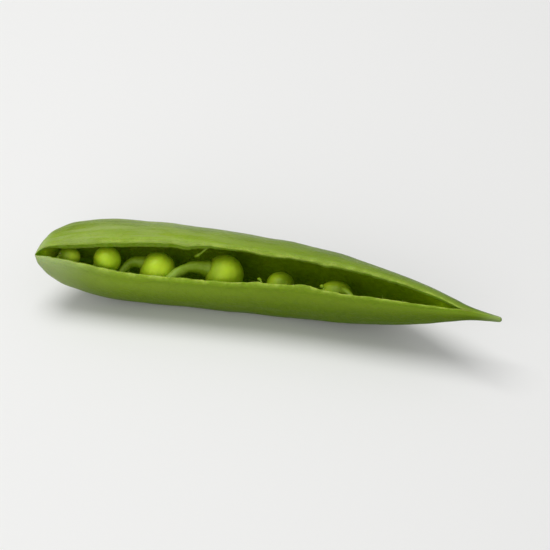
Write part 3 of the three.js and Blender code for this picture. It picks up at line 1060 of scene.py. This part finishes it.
def stalk_recipe(sizes):
    tree, size = recipe("stalk_recipe", sizes)

    def radius(share):
        at_root = (1.0 - share) ** 4 * size["Root flare"]
        at_pea = share ** 3 * 1.1
        closed_root = sums("SQRT", clamped(share * 10.0 + 0.02))
        return (size["Radius"] * (at_pea + 1.0) + at_root) * closed_root

    cord = strand(tree, size["Root"], size["Control"], size["Tip"],
                  steps=36, sides=20, radius=radius)
    finish_recipe(tree, wavy(tree, cord, size["Radius"] * 0.7), PALE_FLESH)
    return tree


print("stalk recipe ready")

# %% Grow the stalks
STALK_RADIUS = {"pea_1": 0.25, "pea_2": 0.3, "pea_3": 0.62, "pea_4": 0.72,
                "pea_5": 0.32, "pea_6": 0.45}
THICK = 0.6  # a stalk with a larger radius arches in view between the peas
BACK_AND_UP = Vector((-1.7, 0.0, 0.0)) - TO_LOWER_VALVE * 0.5  # to the blossom tip and upper valve
stalk_sizes = {}
for name in pea_names:
    root, middle, tip = stalks[name]
    thick = STALK_RADIUS[name] > THICK
    arch = BACK_AND_UP * (1.0 if thick else 0.0)
    below_lip = root - OUT_OF_SPLIT * (0.1 if thick else 0.5) + arch * 0.5
    stalk_sizes[name.replace("pea", "stalk")] = {
        "Root": into_wall(below_lip, TO_LOWER_VALVE),
        "Control": control_of(root, middle, tip) + arch,
        "Tip": tip + (peas[name][0] - tip).normalized(),
        "Radius": STALK_RADIUS[name], "Root flare": 0.55 if thick else 0.3,
    }
stalk_pieces = grow_all(stalk_recipe, stalk_sizes)

# %% [markdown]
# ## Ovules
# Not every ovule was pollinated. The ones that weren't stay as they were in the flower: a bead on a
# short thread, which dries and hangs from the lip once the pod is open. It is a strand like a
# stalk, but near the tip the formula for its radius swells into a ball.

# %% Ovule recipe
def ovule_recipe(sizes):
    tree, size = recipe("ovule_recipe", sizes)

    def radius(share):
        bead = sums("SQRT", at_least(1.0 - ((share - 0.82) / 0.18) ** 2, 0.0))
        thread = (1.0 - share) ** 3 * 0.3 + 0.14
        return sums("SMOOTH_MAX", thread, bead * size["Bead"], 0.15)

    cord = strand(tree, size["Root"], size["Control"], size["Tip"],
                  steps=32, sides=16, radius=radius)
    finish_recipe(tree, wavy(tree, cord, 0.2), PALE_FLESH)
    return tree


print("ovule recipe ready")

# %% Grow the ovules
ovule_names = sorted(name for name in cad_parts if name.startswith("ovule"))
BEADS = {"ovule_1": 0.3, "ovule_2": 0.3, "ovule_3": 0.4}
SAG = Vector((0.0, 0.0, 0.3))  # a bead hangs this much lower than its solid
ovule_sizes = {}
for name in ovule_names:
    low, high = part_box(name)
    bead_end = Vector((low.x, (low.y + high.y) / 2, low.z)) / MM
    root, middle, tip = ends_of(name, bead_end)
    ovule_sizes[f"{name}_bead"] = {
        "Root": into_wall(root, -TO_LOWER_VALVE if name == "ovule_1" else TO_LOWER_VALVE),
        "Control": control_of(root, middle, tip), "Tip": tip - SAG, "Bead": BEADS[name],
    }
ovule_pieces = grow_all(ovule_recipe, ovule_sizes)

# %% [markdown]
# ## Everything rides on the frame
# The pod has no joint, so all its pieces ride on one body. Each takes the place of its solid, which
# stays behind for weight and contact.

# %% Ride
def stands_for(piece, solid):
    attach(piece, "root")
    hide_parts(solid)


stands_for(pod, "pod")
for name, piece in pea_pieces.items():
    stands_for(piece, name.removesuffix("_seed"))
for name, piece in stalk_pieces.items():
    stands_for(piece, f"seed_{name}")
for name, piece in ovule_pieces.items():
    stands_for(piece, name.removesuffix("_bead"))
print("pieces on the frame:", 1 + len(pea_pieces) + len(stalk_pieces) + len(ovule_pieces))

# %% [markdown]
# ## Studio
# The pod lies on a pale table under one large soft light from above and behind, which lays a broad
# highlight on the upper valve and leaves the front valve to shade off downwards. A weaker light in
# front and a dim sky fill that shade. The table looks pale to the camera but throws little light
# back up, so that the underside keeps its depth.

# %% Table
scene = bpy.context.scene
scene.view_settings.view_transform = "Standard"
TABLE_PALE = (0.9, 0.9, 0.89, 1)  # as the camera sees it
TABLE_GREEN = (0.3, 0.32, 0.26, 1)  # as it throws light back


def table(half):
    mesh = bpy.data.meshes.new("floor")
    corners = [(-half, -half, 0), (half, -half, 0), (half, half, 0), (-half, half, 0)]
    mesh.from_pydata(corners, [], [(0, 1, 2, 3)])
    floor = bpy.data.objects.new("floor", mesh)
    scene.collection.objects.link(floor)
    material, tree, surface = new_material("table")
    path = tree.nodes.new("ShaderNodeLightPath").outputs
    seen = clamped(sum(Wire(path[ray]) for ray in
                       ("Is Camera Ray", "Is Glossy Ray", "Is Transmission Ray")))
    plug(tinted(tree, seen, TABLE_GREEN, TABLE_PALE), surface.inputs["Base Color"])
    surface.inputs["Roughness"].default_value = 0.9
    mesh.materials.append(material)


table(half=1.5)
print("table laid")

# %% Lights
def sky(strength):
    world = bpy.data.worlds.new("studio")
    scene.world = world
    world.use_nodes = True
    background = world.node_tree.nodes["Background"]
    background.inputs[0].default_value = (1, 1, 1, 1)
    background.inputs[1].default_value = strength


def lamp(name, place, width, power):
    """A soft round light that faces the pod."""
    light = bpy.data.lights.new(name, "AREA")
    light.shape = "DISK"
    light.size = width
    light.energy = power
    holder = bpy.data.objects.new(name, light)
    holder.location = place
    holder.rotation_euler = (-Vector(place)).to_track_quat("-Z", "Y").to_euler()
    scene.collection.objects.link(holder)


sky(0.4)
lamp("key", place=(-0.14, 0.06, 0.5), width=0.35, power=1.45)
lamp("fill", place=(-0.12, -0.52, 0.22), width=0.5, power=0.95)
print("lights:", len(bpy.data.lights))

# %% Camera
POD_SHARE = 0.86  # of the view's width


def camera(azimuth, elevation, distance, seen_width, target):
    made = bpy.data.cameras.new("camera")
    holder = bpy.data.objects.new("camera", made)
    back = Vector((math.sin(azimuth) * math.cos(elevation),
                   -math.cos(azimuth) * math.cos(elevation), math.sin(elevation)))
    holder.location = target + back * distance
    holder.rotation_euler = back.to_track_quat("Z", "Y").to_euler()
    made.lens = made.sensor_width * distance / seen_width
    made.clip_start = 0.01
    scene.collection.objects.link(holder)
    scene.camera = holder


camera(azimuth=math.radians(12.3), elevation=math.radians(40), distance=0.6,
       seen_width=POD_LENGTH * MM / POD_SHARE, target=Vector((0, 0, 0.0075)))
print(f"the camera sees {POD_LENGTH / POD_SHARE:.0f} mm")
